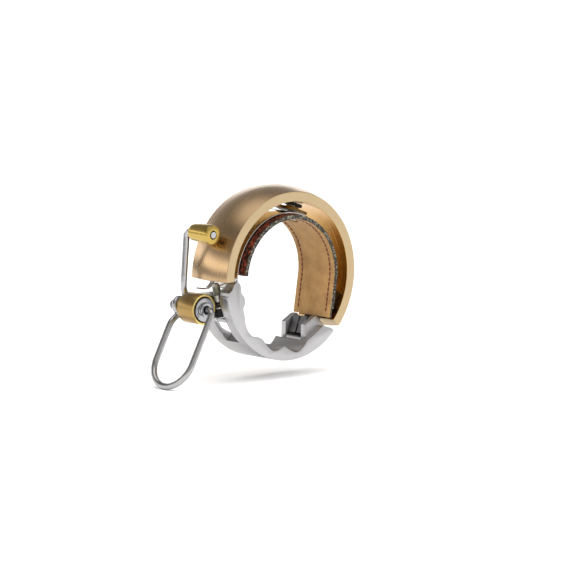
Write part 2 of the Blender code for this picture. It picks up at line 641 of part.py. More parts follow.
def band_nut():
    """A block on the band's tab that the clamp bolt screws into, and the rivet that holds it."""
    half = NUT_HEIGHT / 2
    inner_face = -BAND_OUTER - GAP
    nut = extruded("band_nut", [nut_corner(half), nut_corner(-half), bolt_point(-half),
                                bolt_point(half)],
                   BOLT_DEPTH - NUT_HALF_WIDTH, BOLT_DEPTH + NUT_HALF_WIDTH)
    nose = rod("nut_nose", NUT_HALF_WIDTH, world(BOLT_DEPTH, bolt_point(-half)), bolt_axis(),
               NUT_HEIGHT, 28)
    join(nut, nose)
    bore = rod("nut_bore", BOLT_BORE, world(BOLT_DEPTH, bolt_point(-4)), bolt_axis(), 8)
    rivet_bore = rod("nut_rivet_bore", RIVET_RADIUS + GAP, nut_rivet_place(inner_face + 1),
                     (-1, 0, 0), 2.3)
    barrel_room = rod("nut_barrel_room", BARREL_RADIUS + GAP, world(0, pivot_place()), (0, 1, 0),
                      BELL_WIDTH, 40)
    cut(nut, bore, rivet_bore, barrel_room)
    finish(nut, (0.5, 0.5, 0.5), 0.3, 1.0)
    rivet = headed("nut_rivet", nut_rivet_place(-BAND_INNER + GAP), (-1, 0, 0), RIVET_RADIUS,
                   BAND_THICK + 2 * GAP + 0.9, RIVET_HEAD_RADIUS, RIVET_HEAD_THICK, 16)
    finish(rivet, (0.5, 0.5, 0.5), 0.3, 1.0)


# ---- pivot barrel, bush, spring and lever ---------------------------------------------------------------
def pivot_parts():
    centre = pivot_place()
    front = world(BARREL_FRONT, centre)
    along = (0, 1, 0)
    bore = BARREL_RADIUS - BARREL_WALL
    inside = BARREL_LENGTH - BARREL_BACK_WALL
    pin_bore = PIVOT_PIN_RADIUS + GAP
    edge = BARREL_EDGE
    cup = [(bore, edge), (bore + edge, 0), (BARREL_RADIUS - edge, 0), (BARREL_RADIUS, edge),
           (BARREL_RADIUS, BARREL_LENGTH - edge), (BARREL_RADIUS - edge, BARREL_LENGTH),
           (pin_bore, BARREL_LENGTH), (pin_bore, inside), (bore, inside)]
    barrel = turned("pivot_barrel", cup, front, along, 48)
    inward = -polar(1, PIVOT_DEG)
    screw_axis = Vector((inward.x, 0, inward.y))
    mouth = world(barrel_screw_depth(), polar(PIVOT_RADIUS - SADDLE_REACH, PIVOT_DEG))
    cut(barrel, rod("barrel_screw_pocket", BARREL_SCREW_RADIUS + GAP, mouth, screw_axis, 6, 16))
    finish(barrel, (0.55, 0.40, 0.17), 0.3, 1.0)

    seat_radius = CLAMP_OUTER - BARREL_SEAT - GAP
    seat = world(barrel_screw_depth(), polar(seat_radius, PIVOT_DEG))
    screw = headed("barrel_screw", seat, -screw_axis, BARREL_SCREW_RADIUS,
                   PIVOT_RADIUS - SADDLE_REACH - 0.4 - seat_radius, BARREL_SCREW_HEAD_RADIUS,
                   BARREL_SCREW_HEAD_THICK, 20)
    finish(screw, (0.4, 0.4, 0.42), 0.3, 1.0)

    wire_bore = WIRE_RADIUS + GAP
    bush_section = [(wire_bore, 0.25), (wire_bore + 0.25, 0), (BUSH_TUBE_RADIUS - 0.15, 0),
                    (BUSH_TUBE_RADIUS, 0.15), (BUSH_TUBE_RADIUS, 0.8),
                    (BUSH_FLANGE_RADIUS - 0.15, 0.8), (BUSH_FLANGE_RADIUS, 0.95),
                    (BUSH_FLANGE_RADIUS, 1.7), (BUSH_TUBE_RADIUS, 1.7),
                    (BUSH_TUBE_RADIUS, inside + BUSH_NOSE - GAP),
                    (wire_bore, inside + BUSH_NOSE - GAP)]
    bush = turned("pivot_bush", bush_section, world(BARREL_FRONT - BUSH_NOSE, centre), along, 40)
    finish(bush, (0.6, 0.6, 0.62), 0.25, 1.0)

    pin_head = LEVER_BACK + WIRE_RADIUS + GAP
    pin = headed("pivot_pin", world(pin_head, centre), (0, -1, 0), PIVOT_PIN_RADIUS,
                 pin_head - BARREL_BACK + BARREL_BACK_WALL - 0.1, PIVOT_PIN_HEAD_RADIUS,
                 PIVOT_PIN_HEAD_THICK, 20)
    finish(pin, (0.6, 0.6, 0.6), 0.25, 1.0)

    coil_radius = 0.5 * (BUSH_TUBE_RADIUS + bore)
    start = BARREL_FRONT + 0.4 + GAP + SPRING_WIRE / 2
    end = BARREL_BACK - BARREL_BACK_WALL - GAP - SPRING_WIRE / 2
    points = []
    sides = 12
    for i in range(SPRING_TURNS * sides + 1):
        turn = i / (SPRING_TURNS * sides)
        place = centre + polar(coil_radius, 360 * SPRING_TURNS * turn)
        points.append(world(start + (end - start) * turn, place))
    spring = wire_object("torsion_spring", points, SPRING_WIRE / 2, 1)
    finish(spring, (0.4, 0.4, 0.4), 0.35, 1.0)


def lever():
    """The wire lever from its stub in the bush, round the thumb loop and eye, to the hammer."""
    centre = pivot_place()
    hammer = polar(HAMMER_LINE, HAMMER_DEG)
    lean = math.radians(LOOP_LEAN_DEG)
    down = Vector((-math.sin(lean), -math.cos(lean)))
    side = Vector((-down.y, down.x))
    stub_end = BARREL_BACK - BARREL_BACK_WALL - 0.6
    loop_radius = 0.5 * (LEVER_BACK - LEVER_FRONT)
    leg = LOOP_LENGTH - loop_radius

    front_path = rounded([world(stub_end, centre), world(LEVER_FRONT, centre),
                          world(LEVER_FRONT, centre + down * leg)], BEND_RADIUS * MM)
    path = front_path
    for i in range(1, 16):
        angle = math.pi * i / 16
        depth = LEVER_FRONT + loop_radius * (1 - math.cos(angle))
        path.append(world(depth, centre + down * (leg + loop_radius * math.sin(angle))))
    # the back leg climbs beside the eye, runs once round it and leaves as the arm
    leg_deg = math.degrees(math.atan2(side.y, side.x))
    up = (hammer - centre).normalized()
    arm_side = Vector((up.y, -up.x))
    arm_deg = math.degrees(math.atan2(arm_side.y, arm_side.x))
    path.append(world(LEVER_BACK, centre + down * leg))
    for reach, share in EYE_ENTRY:
        path.append(world(LEVER_BACK, centre + down * reach + side * COIL_RADIUS * share))
    sweep = 360 + arm_deg - leg_deg
    turns = 28
    for i in range(turns + 1):
        angle = leg_deg + sweep * i / turns
        depth = LEVER_BACK + (ARM_DEPTH - LEVER_BACK) * i / turns
        path.append(world(depth, centre + polar(COIL_RADIUS, angle)))
    for reach, share in EYE_ENTRY[::-1]:
        path.append(world(ARM_DEPTH, centre + up * reach + arm_side * COIL_RADIUS * share))
    arm_path = rounded([world(ARM_DEPTH, centre + up * 9.0), world(ARM_DEPTH, hammer),
                        world(HAMMER_FRONT, hammer)], BEND_RADIUS * MM)
    path += arm_path
    wire = wire_object("lever_wire", path, WIRE_RADIUS)
    finish(wire, (0.55, 0.55, 0.56), 0.25, 1.0)

    bore = WIRE_RADIUS + GAP
    section = [(bore, 0), (HAMMER_RADIUS - 0.45, 0), (HAMMER_RADIUS - 0.15, 0.15),
               (HAMMER_RADIUS - 0.02, 0.5), (HAMMER_RADIUS, 1.4)]
    for t in range(1, 7):
        share = t / 6
        section.append((HAMMER_RADIUS - 0.42 * share ** 1.8, 1.4 + (HAMMER_LENGTH - 2.5) * share))
    section += [(HAMMER_RADIUS - 0.62, HAMMER_LENGTH - 0.55),
                (HAMMER_RADIUS - 1.05, HAMMER_LENGTH - 0.12),
                (HAMMER_RADIUS - 1.3, HAMMER_LENGTH), (bore, HAMMER_LENGTH)]
    knocker = turned("hammer", section, world(HAMMER_FRONT, hammer), (0, 1, 0), 36)
    finish(knocker, (0.70, 0.52, 0.20), 0.25, 1.0)
    axis = empty("lever_axis", world(BELL_WIDTH / 2, centre))
    hang(axis, wire, knocker)


def main():
    for obj in list(bpy.data.objects):
        bpy.data.objects.remove(obj, do_unlink=True)
    leathers()
    mount_band()
    bell_and_post()
    hinge_tongue()
    hinge_pin()
    lower_clamp()
    clamp_bolt()
    band_nut()
    pivot_parts()
    lever()


main()
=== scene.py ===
"""The looks of a bicycle bell that wraps round a handlebar.

Brushed brass bell, polished steel band, stitched two-layer leather, cast aluminium clamp and a bent
wire lever with a brass hammer. Pieces are in metres in the model's own frame: the handlebar's axis
is Y through the origin, the bell's front rim faces -Y, +Z is up.
"""
import json
import math
import random

import bpy
from mathutils import Matrix, Vector


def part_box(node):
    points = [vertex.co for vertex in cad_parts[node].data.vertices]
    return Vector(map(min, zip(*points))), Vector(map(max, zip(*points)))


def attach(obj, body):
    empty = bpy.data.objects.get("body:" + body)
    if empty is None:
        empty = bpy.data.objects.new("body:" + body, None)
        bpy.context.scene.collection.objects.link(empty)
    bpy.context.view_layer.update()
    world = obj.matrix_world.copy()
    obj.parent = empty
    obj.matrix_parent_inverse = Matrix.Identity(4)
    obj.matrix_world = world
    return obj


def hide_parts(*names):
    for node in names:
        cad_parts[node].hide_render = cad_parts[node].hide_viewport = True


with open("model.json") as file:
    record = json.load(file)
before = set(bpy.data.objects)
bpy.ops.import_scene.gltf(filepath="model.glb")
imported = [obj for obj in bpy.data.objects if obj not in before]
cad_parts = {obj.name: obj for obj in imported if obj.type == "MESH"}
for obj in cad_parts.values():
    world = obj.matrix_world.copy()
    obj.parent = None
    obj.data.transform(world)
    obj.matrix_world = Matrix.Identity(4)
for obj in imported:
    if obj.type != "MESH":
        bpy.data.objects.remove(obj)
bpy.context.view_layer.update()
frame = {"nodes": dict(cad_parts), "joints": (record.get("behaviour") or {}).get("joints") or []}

MM = 0.001


# ---- places read from the frame -----------------------------------------------------------------
def joint(name):
    return next(item for item in frame["joints"] if item["name"] == name)


def depths(node):
    """Front and back of a node along the handlebar, in millimetres."""
    low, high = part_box(node)
    return low[1] / MM, high[1] / MM


BELL_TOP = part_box("bell_shell")[1][2] / MM            # crown radius
BELL_FRONT, BELL_BACK = depths("bell_shell")
PIVOT = Vector(joint("lever_pivot")["pos_m"]) / MM
PIVOT.y = 0.0
BOLT_AXIS = Vector(joint("bolt_spin")["axis"]).normalized()
BOLT_FOOT = Vector(joint("bolt_spin")["pos_m"]) / MM

# ---- sizes of the fine shapes, in millimetres and degrees ---------------------------------------
EASE = 0.2                   # rounding of cut and cast edges
BELL_INNER = 21.58
BELL_RIM = 24.45
BELL_RIGHT_DEG = -41.0
BELL_LEFT_DEG = 178.6
CROWN_DEG = (BELL_RIGHT_DEG + BELL_LEFT_DEG) / 2
STRAP_LEAN_DEG = 9.0
LINING_INNER = 16.4
LINING_THICK = 0.72
LINING_LEG = 10.9
BACKING_THICK = 0.62
BACKING_LEG = 8.3
LEATHER_LEFT_DEG = 174.0
ACCESS_HOLE_RADIUS = 2.9
STITCH_DIP_WIDTH = 0.35      # how wide the leather is pressed in along a stitch line
STITCH_ENDS = 0.9            # the rows start this far from the leather's left end
STITCH_PITCH = 1.45
STITCH_INSET = 1.9           # stitch line from the leather's edge
STITCH_SHARE = 0.94          # the part of a pitch that the thread lies on top
THREAD_WIDTH, THREAD_HEIGHT = 0.48, 0.40
BAND_INNER = 17.85
BAND_THICK = 0.5
BAND_DROP = 2.6
BAND_LEG = 6.9
BAND_TAB_DROP = 6.0
TAB_HALF = 2.35
FINGER_WIDTH = 1.6
FINGER_BEND = 2.9
FINGER_REACH = 3.4
FINGER_TOP = -0.2            # height at which the finger leaves the band
FINGER_RISE = 0.35           # the finger's tip turns up by this much
BAND_ARC_LEFT_DEG = 179.4
TAB_TAPER_DROP = 0.9         # the tab narrows over this length at its foot
TAB_TAPER = 0.6
WIRE_RADIUS = 0.95
BEND_RADIUS = 1.7
LOOP_FRONT, LOOP_BACK = 1.7, 17.1        # depths of the thumb loop's two legs behind the rim
ARM_DEPTH = 14.95
LOOP_LENGTH = 24.3
LOOP_LEAN_DEG = 28.4
COIL_RADIUS = 1.9
HAMMER_RADIUS = 2.87
HAMMER_LENGTH = 9.1
HAMMER_FRONT = 3.4
HAMMER_DEG = 151.8
HAMMER_LINE = 30.02          # the hammer's axis from the handlebar's
WIRE_HOLE = 1.2              # radius of the hammer's and the bush's hole for the wire
BARREL_RADIUS = 4.4
BARREL_BORE = 3.75
BOLT_RADIUS = 1.25
BOLT_HEAD_RADIUS = 2.1
BOLT_HEAD_LENGTH = 2.4
BOLT_TOP, BOLT_SEAT = 4.0, -3.35         # shank's ends, from its foot on the radius
THREAD_PITCH = 0.55          # an M2.5 thread drawn slightly coarse
THREAD_DEPTH = 0.22
SOCKET_RADIUS = 1.02
CAMERA_AZIMUTH_DEG, CAMERA_ELEVATION_DEG = -41.7, 8.6
CAMERA_AIM = Vector((-1.32, -6.96, -2.64))
CAMERA_DISTANCE = 4.0        # metres
LENS_PER_METRE = 220.3       # focal length in mm for each metre of distance
FLOOR_SIZE = 1.5             # metres
FLOOR_DROP = 0.02            # the floor lies this far under the wire
LAMP_STRENGTH = 3.8
LAMP_ANGLE_DEG = 130
LAMP_DIRECTION = Vector((0.3, 0.8, -1.0))

# brightness of the studio by height, from the horizon (0) to straight up (1)
WALLS_BEHIND = ((0.0, 0.22), (0.05, 0.25), (0.12, 2.2), (0.22, 2.1), (0.33, 0.45), (0.8, 0.2),
                (0.92, 1.5))
WALLS_IN_FRONT = ((0.0, 0.6), (0.1, 0.8), (0.3, 0.9), (0.6, 0.8), (0.80, 0.4), (0.92, 1.5))
WARMTH = 0.94                # blue against red in the studio's light


# ---- modelling helpers --------------------------------------------------------------------------
def polar(radius, degrees, y=0.0):
    angle = math.radians(degrees)
    return Vector((radius * math.cos(angle), y, radius * math.sin(angle)))


def behind(depth, place):
    """A place moved to a depth behind the bell's front rim."""
    return Vector((place.x, BELL_FRONT + depth, place.z))


def arc(radius, start, end, steps, y=0.0):
    return [polar(radius, start + (end - start) * i / steps, y) for i in range(steps + 1)]


def deselect():
    bpy.ops.object.select_all(action="DESELECT")


def only(piece):
    deselect()
    piece.select_set(True)
    bpy.context.view_layer.objects.active = piece
    return piece


def begin(name, place):
    """Starts a piece: a small plane merged to one vertex, left in edit mode."""
    deselect()
    bpy.ops.mesh.primitive_plane_add(size=MM, location=place * MM)
    piece = bpy.context.object
    piece.name = piece.data.name = name
    bpy.ops.object.transform_apply(location=True)
    bpy.ops.object.mode_set(mode="EDIT")
    bpy.ops.mesh.select_mode(type="VERT")
    bpy.ops.mesh.select_all(action="SELECT")
    bpy.ops.mesh.merge(type="CENTER")
    return piece


def drawn(name, points):
    """A line through the points, left in edit mode with all of it selected."""
    piece = begin(name, points[0])
    for here, there in zip(points, points[1:]):
        bpy.ops.mesh.extrude_vertices_move(TRANSFORM_OT_translate={"value": (there - here) * MM})
    bpy.ops.mesh.select_all(action="SELECT")
    return piece


def end_edit(piece, angle=35):
    """Closes edit mode with clean outward faces and smooth shading below an angle."""
    bpy.ops.mesh.select_all(action="SELECT")
    bpy.ops.mesh.remove_doubles(threshold=0.002 * MM)
    bpy.ops.mesh.normals_make_consistent(inside=False)
    bpy.ops.mesh.select_all(action="DESELECT")
    bpy.ops.object.mode_set(mode="OBJECT")
    only(piece)
    bpy.ops.object.shade_smooth_by_angle(angle=math.radians(angle))
    return piece


def extrude(move):
    bpy.ops.mesh.extrude_region_move(TRANSFORM_OT_translate={"value": move * MM})


def modify(piece, kind, **settings):
    """Adds a modifier with its settings and applies it."""
    only(piece)
    modifier = piece.modifiers.new(kind.title(), kind)
    for name, value in settings.items():
        setattr(modifier, name, value)
    bpy.ops.object.modifier_apply(modifier=modifier.name)
    return piece


def edge_round(piece, width, segments=3, angle=30, shade=35):
    modify(piece, "BEVEL", width=width * MM, segments=segments, limit_method="ANGLE",
           angle_limit=math.radians(angle), miter_outer="MITER_ARC")
    bpy.ops.object.shade_smooth_by_angle(angle=math.radians(shade))
    return piece


def turned(name, section, base, axis, steps=64, angle=35):
    """A lathe piece: section points are (radius, height above the base along the axis)."""
    piece = drawn(name, [Vector((radius, 0, height)) for radius, height in section])
    bpy.ops.mesh.edge_face_add()
    bpy.ops.mesh.delete(type="ONLY_FACE")
    bpy.ops.mesh.select_all(action="SELECT")
    bpy.ops.mesh.spin(steps=steps, angle=math.radians(360), center=(0, 0, 0), axis=(0, 0, 1))
    end_edit(piece, angle)
    piece.rotation_euler = Vector(axis).to_track_quat("Z", "Y").to_euler()
    piece.location = base * MM
    only(piece)
    bpy.ops.object.transform_apply(location=True, rotation=True)
    return piece


def place_piece(piece, body, slot, material, *nodes):
    """Gives a piece its body and its finish and hides the nodes it stands for; the slot is not
    used.
    """
    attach(piece, body)
    if nodes:
        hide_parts(*nodes)
    if material:
        piece.data.materials.clear()
        piece.data.materials.append(material)
    return piece


# ---- material helpers ---------------------------------------------------------------------------
def colour(text):
    """An sRGB hex value as linear RGBA."""
    parts = [int(text[i:i + 2], 16) / 255 for i in (0, 2, 4)]
    linear = [p / 12.92 if p <= 0.04045 else ((p + 0.055) / 1.055) ** 2.4 for p in parts]
    return (*linear, 1.0)


def add(tree, kind, links=None, **settings):
    """Adds a node, or fills a made one: each input takes a value, a socket or another node."""
    made = tree.nodes.new(kind) if isinstance(kind, str) else kind
    for name, value in settings.items():
        setattr(made, name, value)
    for socket, value in (links or {}).items():
        if isinstance(value, bpy.types.Node):
            value = next(output for output in value.outputs if output.enabled)
        if isinstance(value, bpy.types.NodeSocket):
            tree.links.new(value, made.inputs[socket])
        else:
            made.inputs[socket].default_value = value
    return made


def new_material(name, **values):
    """A Principled material; values that are the same all over sit on the shader's own sockets."""
    material = bpy.data.materials.new(name)
    material.use_nodes = True
    tree = material.node_tree
    shader = tree.nodes["Principled BSDF"]
    for socket, value in values.items():
        shader.inputs[socket.replace("_", " ")].default_value = value
    return material, tree, shader


def sized(tree, x, y, z):
    """Object coordinates counted in features of the given sizes in millimetres."""
    place = add(tree, "ShaderNodeTexCoord").outputs["Object"]
    scale = (1 / (MM * x), 1 / (MM * y), 1 / (MM * z))
    return add(tree, "ShaderNodeMapping", {"Vector": place, "Scale": scale})


def round_the_ring(tree, along, across, deep):
    """Coordinates that follow the ring: length round it, depth, and radius, over feature sizes."""
    place = add(tree, "ShaderNodeTexCoord").outputs["Object"]
    part = add(tree, "ShaderNodeSeparateXYZ", {0: place}).outputs
    angle = add(tree, "ShaderNodeMath", {0: part["Z"], 1: part["X"]}, operation="ARCTAN2")
    length = add(tree, "ShaderNodeMath", {0: angle, 1: BELL_RIM / along}, operation="MULTIPLY")
    depth = add(tree, "ShaderNodeMath", {0: part["Y"], 1: 1 / (across * MM)}, operation="MULTIPLY")
    flat = add(tree, "ShaderNodeCombineXYZ", {"X": part["X"], "Y": part["Z"]})
    size = add(tree, "ShaderNodeVectorMath", {0: flat}, operation="LENGTH").outputs["Value"]
    radius = add(tree, "ShaderNodeMath", {0: size, 1: 1 / (deep * MM)}, operation="MULTIPLY")
    return add(tree, "ShaderNodeCombineXYZ", {"X": length, "Y": depth, "Z": radius})


def grained(name, coordinates, dark, light, low, high, depth, **values):
    """A finish whose colour, roughness and surface all follow one grain."""
    material, tree, shader = new_material(name, **values)
    grain = add(tree, "ShaderNodeTexNoise", {"Vector": coordinates(tree), "Scale": 1.0,
                                             "Detail": 4.0, "Roughness": 0.6})
    tint = add(tree, "ShaderNodeMix", {"Factor": grain, "A": colour(dark), "B": colour(light)},
               data_type="RGBA")
    rough = add(tree, "ShaderNodeMapRange", {"Value": grain, "From Min": 0.3, "From Max": 0.7,
                                             "To Min": low, "To Max": high})
    raised = add(tree, "ShaderNodeBump", {"Height": grain, "Distance": depth * MM,
                                          "Strength": 0.6})
    add(tree, shader, {"Base Color": tint, "Roughness": rough, "Normal": raised})
    return material


# ---- finishes -----------------------------------------------------------------------------------
def brushed_brass():
    """Brass brushed round the ring under a matt lacquer: fine lines pull each highlight across."""
    material, tree, shader = new_material("brushed_lacquered_brass", Metallic=1.0,
                                          Anisotropic=0.75, Coat_Weight=0.7,
                                          Coat_Roughness=0.28)
    # brush lines 0.05 mm wide in truth, drawn at 0.2 mm so that they show
    hair = add(tree, "ShaderNodeTexNoise", {"Vector": round_the_ring(tree, 14.0, 0.2, 0.9),
                                            "Scale": 1.0, "Detail": 4.0, "Roughness": 0.65})
    cloud = add(tree, "ShaderNodeTexNoise", {"Vector": round_the_ring(tree, 12.0, 6.0, 6.0),
                                             "Scale": 1.0, "Detail": 2.0})
    tint = add(tree, "ShaderNodeMix", {"Factor": hair, "A": colour("ac8c62"),
                                       "B": colour("c2a47c")}, data_type="RGBA")
    fine = add(tree, "ShaderNodeMapRange", {"Value": hair, "From Min": 0.3, "From Max": 0.7,
                                            "To Min": 0.22, "To Max": 0.30})
    patch = add(tree, "ShaderNodeMapRange", {"Value": cloud, "From Min": 0.3, "From Max": 0.7,
                                             "To Min": -0.03, "To Max": 0.03})
    rough = add(tree, "ShaderNodeMath", {0: fine, 1: patch}, operation="ADD")
    raised = add(tree, "ShaderNodeBump", {"Height": hair, "Distance": 0.003 * MM,
                                          "Strength": 0.5})
    across = add(tree, "ShaderNodeCombineXYZ", {"Y": 1.0})
    add(tree, shader, {"Base Color": tint, "Roughness": rough, "Normal": raised,
                       "Tangent": across})
    return material


def suede():
    """Undyed split leather: a short nap that catches light softly, with cloudy wear."""
    material, tree, shader = new_material("undyed_suede", Roughness=0.92, Sheen_Weight=0.1,
                                          Sheen_Roughness=0.5)
    nap = add(tree, "ShaderNodeTexNoise", {"Vector": sized(tree, 0.3, 0.3, 0.3), "Scale": 1.0,
                                           "Detail": 5.0, "Roughness": 0.7})
    cloud = add(tree, "ShaderNodeTexNoise", {"Vector": sized(tree, 3.5, 3.5, 3.5), "Scale": 1.0,
                                             "Detail": 3.0})
    both = add(tree, "ShaderNodeMix", {"Factor": 0.5, "A": nap, "B": cloud})
    wear = add(tree, "ShaderNodeMapRange", {"Value": both, "From Min": 0.38, "From Max": 0.62})
    tint = add(tree, "ShaderNodeMix", {"Factor": wear, "A": colour("8c693d"),
                                       "B": colour("aa8552")}, data_type="RGBA")
    raised = add(tree, "ShaderNodeBump", {"Height": nap, "Distance": 0.05 * MM,
                                          "Strength": 0.6})
    add(tree, shader, {"Base Color": tint, "Normal": raised})
    return material


def oiled_leather():
    """Dark oiled full-grain leather, pebbled and softly glossy; red-brown high spots of wear and
    painted highlight.
    """
    material, tree, shader = new_material("oiled_red_leather")
    pebble = add(tree, "ShaderNodeTexVoronoi", {"Vector": round_the_ring(tree, 1.1, 0.8, 0.8),
                                                "Scale": 1.0}, feature="SMOOTH_F1")
    crease = add(tree, "ShaderNodeTexNoise", {"Vector": round_the_ring(tree, 2.6, 1.1, 1.6),
                                              "Scale": 1.0, "Detail": 5.0, "Roughness": 0.7})
    # painted highlight: the red-brown laid on the crease noise's high spots stands for the
    # leather's glossy highlights as well as for wear
    wear_and_highlight = add(tree, "ShaderNodeMapRange", {"Value": crease, "From Min": 0.50, "From Max": 0.66})
    tint = add(tree, "ShaderNodeMix", {"Factor": wear_and_highlight, "A": colour("220e0a"),
                                       "B": colour("9a4630")}, data_type="RGBA")
    rough = add(tree, "ShaderNodeMapRange", {"Value": crease, "From Min": 0.3, "From Max": 0.7,
                                             "To Min": 0.5, "To Max": 0.25})
    height = add(tree, "ShaderNodeMath", {0: pebble.outputs["Distance"], 1: crease},
                 operation="ADD")
    raised = add(tree, "ShaderNodeBump", {"Height": height, "Distance": 0.3 * MM,
                                          "Strength": 0.9})
    add(tree, shader, {"Base Color": tint, "Roughness": rough, "Normal": raised})
    return material


def leather_edge():
    """A cut leather edge, dyed dark grey: pale fibre ends show as fine dots."""
    material, tree, shader = new_material("dyed_cut_edge", Roughness=0.75)
    dots = add(tree, "ShaderNodeTexVoronoi", {"Vector": round_the_ring(tree, 0.8, 0.6, 0.6),
                                              "Scale": 1.0})
    fibre = add(tree, "ShaderNodeMapRange", {"Value": dots.outputs["Distance"],
                                             "From Min": 0.15, "From Max": 0.5,
                                             "To Min": 1.0, "To Max": 0.0})
    tint = add(tree, "ShaderNodeMix", {"Factor": fibre, "A": colour("26241f"),
                                       "B": colour("8a8472")}, data_type="RGBA")
    raised = add(tree, "ShaderNodeBump", {"Height": fibre, "Distance": 0.05 * MM,
                                          "Strength": 0.7})
    add(tree, shader, {"Base Color": tint, "Normal": raised})
    return material


def make_finishes():
    metal = {"Metallic": 1.0}
    return {
        "bell": brushed_brass(),
        "suede": suede(),
        "leather": oiled_leather(),
        "edge": leather_edge(),
        # brass faced on a lathe: flat pale gold with faint rings and a soft even shine
        "rim": grained("lathe_faced_brass", lambda tree: round_the_ring(tree, 30.0, 3.0, 0.16),
                       "baa582", "c5b08c", 0.38, 0.46, 0.004, **metal),
        # the bell's inside, left as spun: deeper gold with lines round the ring
        "inside": grained("spun_brass_inside", lambda tree: round_the_ring(tree, 20.0, 0.4, 3.0),
                          "bb8c42", "cca058", 0.18, 0.28, 0.006, **metal),
        # yellow brass, turned and polished: faint rings across the axis
        "hammer": grained("polished_turned_brass", lambda tree: sized(tree, 9.0, 0.35, 9.0),
                          "ab8f48", "c0a75e", 0.19, 0.29, 0.004, **metal),
        # yellow brass with a satin finish
        "barrel": grained("satin_turned_brass", lambda tree: sized(tree, 9.0, 0.3, 9.0),
                          "967a4a", "aa8d58", 0.30, 0.38, 0.005, **metal),
        # the barrel's cut ends: bright, freshly faced brass
        "lip": grained("bright_faced_brass", lambda tree: sized(tree, 0.4, 9.0, 0.4),
                       "ccb468", "dfca84", 0.24, 0.34, 0.003, **metal),
        # rolled spring steel, polished: long faint rolling lines
        "band": grained("polished_spring_steel", lambda tree: round_the_ring(tree, 9.0, 0.4, 3.0),
                        "bcb9b2", "cfcdc8", 0.10, 0.18, 0.003, **metal),
        # die-cast aluminium, tumbled: pale and even, with a faint peened texture
        "clamp": grained("tumbled_cast_aluminium", lambda tree: sized(tree, 0.6, 0.6, 0.6),
                         "acacae", "bcbcbe", 0.32, 0.44, 0.012, **metal),
        # drawn stainless wire: nearly mirror, a little uneven
        "wire": grained("drawn_stainless_wire", lambda tree: sized(tree, 0.5, 0.5, 0.5),
                        "9c9c9e", "b2b2b4", 0.12, 0.18, 0.003, **metal),
        # bright turned steel
        "bush": grained("turned_bright_steel", lambda tree: sized(tree, 8.0, 0.25, 8.0),
                        "98999d", "b1b2b6", 0.16, 0.26, 0.004, **metal),
        # bronze spacer under the bell: dark gold
        "bronze": grained("aged_bronze", lambda tree: sized(tree, 6.0, 6.0, 0.3),
                          "5c4726", "786038", 0.26, 0.36, 0.004, **metal),
        # zinc-plated fasteners: soft grey
        "zinc": grained("zinc_plated_steel", lambda tree: sized(tree, 0.5, 0.5, 0.5),
                        "96968f", "b2b1a8", 0.26, 0.38, 0.006, **metal),
        # black oxide: near black with a dull oily shine
        "black": grained("black_oxide_steel", lambda tree: sized(tree, 0.5, 0.5, 0.5),
                         "1a1a1b", "2c2c2e", 0.28, 0.42, 0.006, **metal),
        # hinge tongue: dark phosphated steel
        "dark": grained("phosphated_steel", lambda tree: sized(tree, 0.7, 0.7, 0.7),
                        "565657", "6e6e70", 0.34, 0.48, 0.010, **metal),
        # bright spring wire
        "spring": grained("bright_spring_wire", lambda tree: sized(tree, 0.4, 0.4, 0.4),
                          "77787a", "8f9092", 0.20, 0.30, 0.003, **metal),
        # waxed red-brown thread: small light and dark flecks
        "thread": grained("waxed_thread", lambda tree: sized(tree, 0.2, 0.2, 0.2),
                          "4c1c0e", "7c3519", 0.55, 0.65, 0.040),
        # moulded black rubber: matt, faintly dusty
        "rubber": grained("moulded_black_rubber", lambda tree: sized(tree, 0.5, 0.5, 0.5),
                          "151515", "242424", 0.75, 0.85, 0.020),
    }


# ---- bell ---------------------------------------------------------------------------------------
def bell(finish):
    """The crowned C-ring, spun from its section, with eased edges and a machined front rim."""
    width = BELL_BACK - BELL_FRONT
    crown = BELL_TOP - BELL_RIM
    steps = 20
    section = [Vector((BELL_INNER, BELL_FRONT, 0)), Vector((BELL_RIM, BELL_FRONT, 0))]
    for i in range(1, steps):
        turn = math.pi * (i / steps - 0.5)
        height = BELL_RIM + crown * math.cos(turn)
        section.append(Vector((height, BELL_FRONT + width * i / steps, 0)))
    section += [Vector((BELL_RIM, BELL_BACK, 0)), Vector((BELL_INNER, BELL_BACK, 0))]
    start = Matrix.Rotation(-math.radians(BELL_RIGHT_DEG), 3, "Y")
    piece = drawn("bell_ring", [start @ point for point in section])
    bpy.ops.mesh.edge_face_add()
    span = BELL_LEFT_DEG - BELL_RIGHT_DEG
    bpy.ops.mesh.spin(steps=180, angle=math.radians(span), center=(0, 0, 0), axis=(0, 1, 0))
    end_edit(piece, 50)
    edge_round(piece, 0.16, 3, 40, 50)
    for key in ("bell", "rim", "inside"):
        piece.data.materials.append(finish[key])
    for face in piece.data.polygons:
        centre = Vector((face.center.x, 0, face.center.z))
        if abs(face.normal.y) > 0.8:
            face.material_index = 1
        elif face.normal.dot(centre.normalized()) < -0.6:
            face.material_index = 2
        elif abs(face.normal.dot(centre.normalized())) < 0.3:
            face.material_index = 1
    return place_piece(piece, "bell_body", "bell_brass", None, "bell_shell")


# ---- strap --------------------------------------------------------------------------------------
def leg_direction():
    """The way the strap's straight right leg runs."""
    lean = math.radians(STRAP_LEAN_DEG)
    return Vector((-math.sin(lean), 0, -math.cos(lean)))


def strap_line(radius, left_deg, leg, y, arc_steps=90, leg_steps=12):
    """Points along the strap: round the bar from the left, then down the leg."""
    line = arc(radius, left_deg, -STRAP_LEAN_DEG, arc_steps, y)
    corner = line[-1]
    return line + [corner + leg_direction() * leg * i / leg_steps for i in range(1, leg_steps + 1)]


